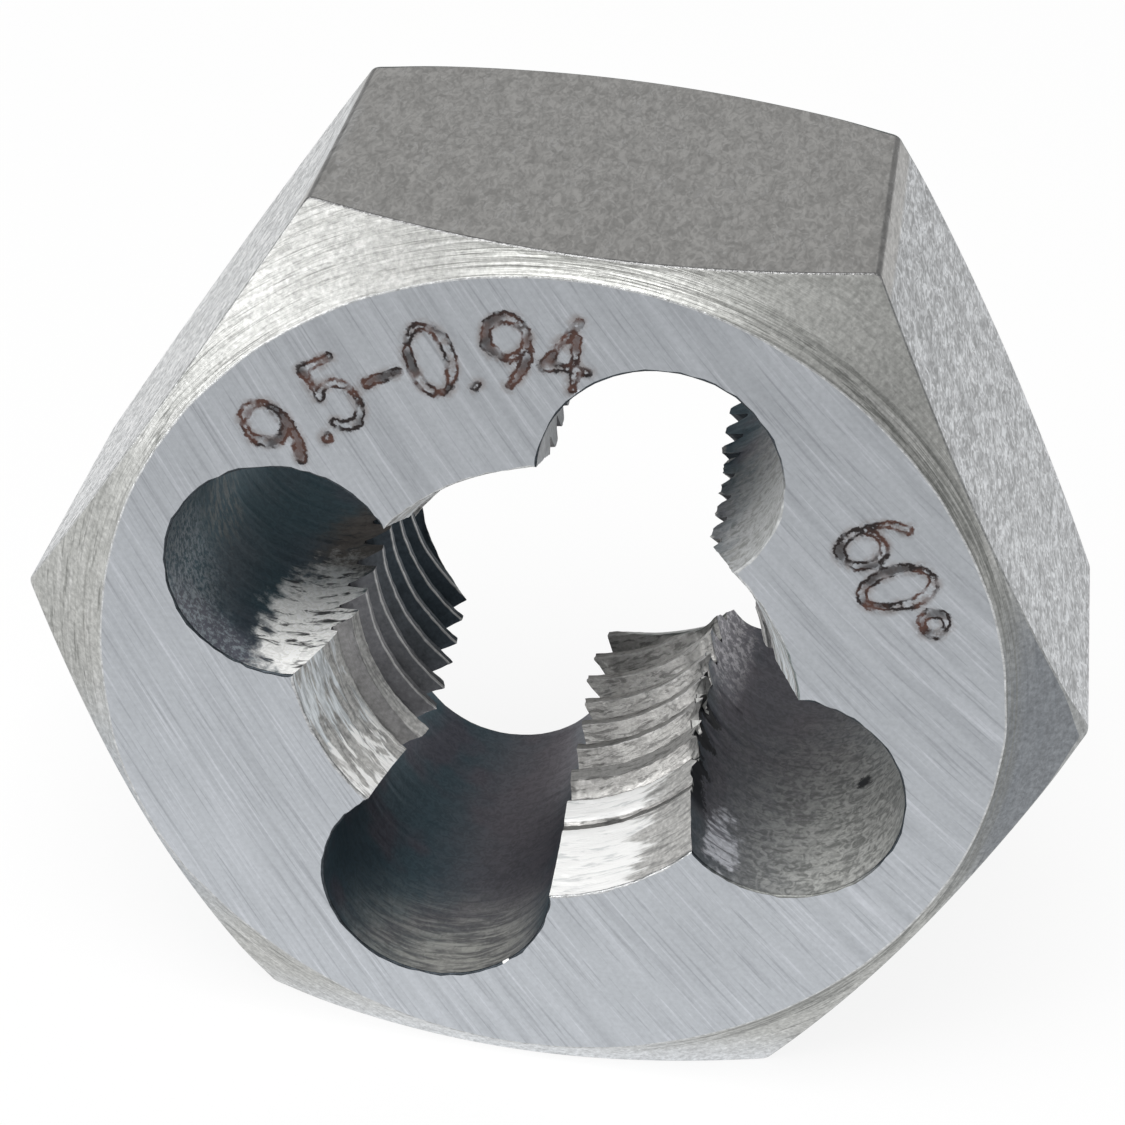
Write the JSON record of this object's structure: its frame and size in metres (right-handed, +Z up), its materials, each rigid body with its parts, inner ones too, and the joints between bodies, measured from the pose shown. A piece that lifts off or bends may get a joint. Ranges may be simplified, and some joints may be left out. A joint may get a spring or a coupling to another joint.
{
  "type": "hex rethreading die",
  "caption": "Hexagonal rethreading die with turned chamfers on both faces, a threaded bore with tapered lead-ins, and round flute holes that leave separate cutting lands.",
  "frame": {"origin": "middle of the bottom flat that the die stands on", "axes": "+Y along the bore, from the marked front face to the back face; +X across the hexagon from corner to corner; +Z up across the flats"},
  "size_m": [0.0228, 0.0096, 0.0198],
  "materials": {
    "tool_steel": "bare ground and turned steel with a satin sheen"
  },
  "bodies": {
    "root": {"rethreading_die": "tool_steel"}
  },
  "joints": []
}
